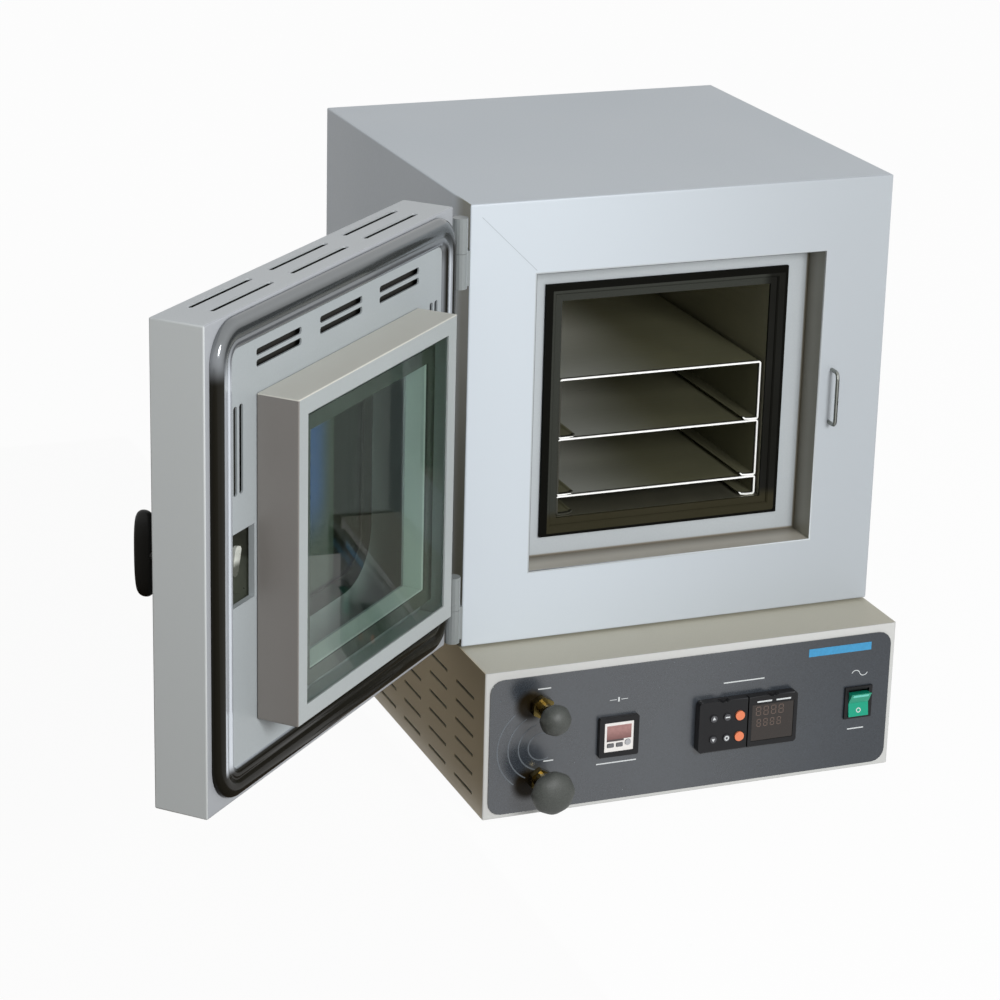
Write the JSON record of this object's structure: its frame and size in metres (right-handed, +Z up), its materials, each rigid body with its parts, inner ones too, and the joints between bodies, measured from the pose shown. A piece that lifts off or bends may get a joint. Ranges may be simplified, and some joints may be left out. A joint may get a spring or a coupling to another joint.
{
  "type": "drying oven",
  "caption": "Bench-top vacuum drying oven with a hinged glazed door standing open, sliding shelves, valve knobs, a gauge, a temperature controller and a power switch on its base.",
  "frame": {"origin": "under the middle of the whole box with the door open, on the surface that the feet stand on", "axes": "+X along the cabinet's width to the side away from the hinges, +Y from the front face to the back, +Z up"},
  "size_m": [0.7296, 0.6822, 0.5385],
  "materials": {
    "body_paint": "satin",
    "inner_paint": "satin",
    "box_paint": "satin",
    "overlay_film": "satin",
    "stainless": "satin",
    "polished_trim": "polished",
    "black_rubber": "matte",
    "black_plastic": "satin",
    "knob_plastic": "matte",
    "valve_brass": "polished",
    "zinc_steel": "satin",
    "window_glass": "gloss",
    "wool": "matte",
    "heater_mat": "matte",
    "pipe_copper": "satin",
    "face_white": "satin",
    "grey_key": "satin",
    "orange_key": "satin",
    "dark_key": "satin",
    "smoked_window": "gloss",
    "green_lens": "gloss"
  },
  "bodies": {
    "cabinet": {"body_shell": "body_paint", "chamber_surround": "body_paint", "rear_panel": "body_paint", "base_shell": "body_paint", "base_bottom_pan": "zinc_steel", "foot_front_left": "black_rubber", "foot_front_right": "black_rubber", "foot_rear_left": "black_rubber", "foot_rear_right": "black_rubber", "control_overlay": "overlay_film", "chamber": "stainless", "chamber_gasket": "black_rubber", "insulation": "wool", "heater_left": "heater_mat", "heater_right": "heater_mat", "temperature_probe": "zinc_steel", "vacuum_pipe": "pipe_copper", "vent_pipe": "pipe_copper", "vacuum_outlet": "valve_brass", "power_inlet": "black_plastic", "solid_state_relay": "zinc_steel", "strike_loop": "zinc_steel", "upper_hinge_bracket": "body_paint", "lower_hinge_bracket": "body_paint", "vacuum_valve": "valve_brass", "vent_valve": "valve_brass", "gauge_housing": "black_plastic", "gauge_face": "face_white", "controller_housing": "black_plastic", "controller_display": "smoked_window", "switch_frame": "black_plastic"},
    "door": {"door_outer_shell": "body_paint", "door_inner_panel": "inner_paint", "door_trim_ring": "polished_trim", "door_seal": "black_rubber", "window_box": "box_paint", "inner_glass": "window_glass", "glass_retainer": "inner_paint", "outer_glass": "window_glass", "outer_glass_seal": "black_rubber", "latch_case": "zinc_steel", "upper_hinge_leaf": "body_paint", "lower_hinge_leaf": "body_paint"},
    "latch": {"latch_handle": "black_plastic", "latch_tongue": "zinc_steel"},
    "vacuum_knob": {"vacuum_knob": "knob_plastic"},
    "vent_knob": {"vent_knob": "knob_plastic"},
    "power_rocker": {"power_rocker": "green_lens"},
    "key_up": {"controller_key_up": "dark_key"},
    "key_enter": {"controller_key_enter": "dark_key"},
    "key_run": {"controller_key_run": "orange_key"},
    "key_down": {"controller_key_down": "dark_key"},
    "key_menu": {"controller_key_menu": "dark_key"},
    "key_stop": {"controller_key_stop": "orange_key"},
    "gauge_button_left": {"gauge_button_left": "grey_key"},
    "gauge_button_middle": {"gauge_button_middle": "grey_key"},
    "gauge_button_right": {"gauge_button_right": "grey_key"},
    "shelf_lower": {"shelf_lower": "stainless"},
    "shelf_middle": {"shelf_middle": "stainless"},
    "shelf_upper": {"shelf_upper": "stainless"}
  },
  "joints": [
    {"name": "door_swing", "type": "hinge", "parent": "cabinet", "child": "door", "pos_m": [-0.03615, -0.06784, 0.3456], "axis": [0, 0, 1], "range_deg": [-43.2, 136.8]},
    {"name": "latch_turn", "type": "hinge", "parent": "door", "child": "latch", "pos_m": [-0.33577, -0.28053, 0.34], "axis": [-0.6845, 0.729, 0], "range_deg": [0, 78]},
    {"name": "vacuum_knob_turn", "type": "hinge", "parent": "cabinet", "child": "vacuum_knob", "pos_m": [0.02555, -0.1422, 0.042], "axis": [0, -1, 0], "range_deg": [0, 810]},
    {"name": "vent_knob_turn", "type": "hinge", "parent": "cabinet", "child": "vent_knob", "pos_m": [0.02555, -0.1422, 0.1094], "axis": [0, -1, 0], "range_deg": [0, 810]},
    {"name": "power_rocker_tilt", "type": "hinge", "parent": "cabinet", "child": "power_rocker", "pos_m": [0.33025, -0.1224, 0.0732], "axis": [-1, 0, 0], "range_deg": [0, 22]},
    {"name": "key_up_press", "type": "slide", "parent": "cabinet", "child": "key_up", "axis": [0, 1, 0], "range_m": [0, 0.0008], "stiffness_N_per_m": 300},
    {"name": "key_enter_press", "type": "slide", "parent": "cabinet", "child": "key_enter", "axis": [0, 1, 0], "range_m": [0, 0.0008], "stiffness_N_per_m": 300},
    {"name": "key_run_press", "type": "slide", "parent": "cabinet", "child": "key_run", "axis": [0, 1, 0], "range_m": [0, 0.0008], "stiffness_N_per_m": 300},
    {"name": "key_down_press", "type": "slide", "parent": "cabinet", "child": "key_down", "axis": [0, 1, 0], "range_m": [0, 0.0008], "stiffness_N_per_m": 300},
    {"name": "key_menu_press", "type": "slide", "parent": "cabinet", "child": "key_menu", "axis": [0, 1, 0], "range_m": [0, 0.0008], "stiffness_N_per_m": 300},
    {"name": "key_stop_press", "type": "slide", "parent": "cabinet", "child": "key_stop", "axis": [0, 1, 0], "range_m": [0, 0.0008], "stiffness_N_per_m": 300},
    {"name": "gauge_left_press", "type": "slide", "parent": "cabinet", "child": "gauge_button_left", "axis": [0, 1, 0], "range_m": [0, 0.0006], "stiffness_N_per_m": 300},
    {"name": "gauge_middle_press", "type": "slide", "parent": "cabinet", "child": "gauge_button_middle", "axis": [0, 1, 0], "range_m": [0, 0.0006], "stiffness_N_per_m": 300},
    {"name": "gauge_right_press", "type": "slide", "parent": "cabinet", "child": "gauge_button_right", "axis": [0, 1, 0], "range_m": [0, 0.0006], "stiffness_N_per_m": 300},
    {"name": "shelf_lower_slide", "type": "slide", "parent": "cabinet", "child": "shelf_lower", "axis": [0, 1, 0], "range_m": [-0.23, 0]},
    {"name": "shelf_middle_slide", "type": "slide", "parent": "cabinet", "child": "shelf_middle", "axis": [0, 1, 0], "range_m": [-0.23, 0]},
    {"name": "shelf_upper_slide", "type": "slide", "parent": "cabinet", "child": "shelf_upper", "axis": [0, 1, 0], "range_m": [-0.23, 0]}
  ]
}
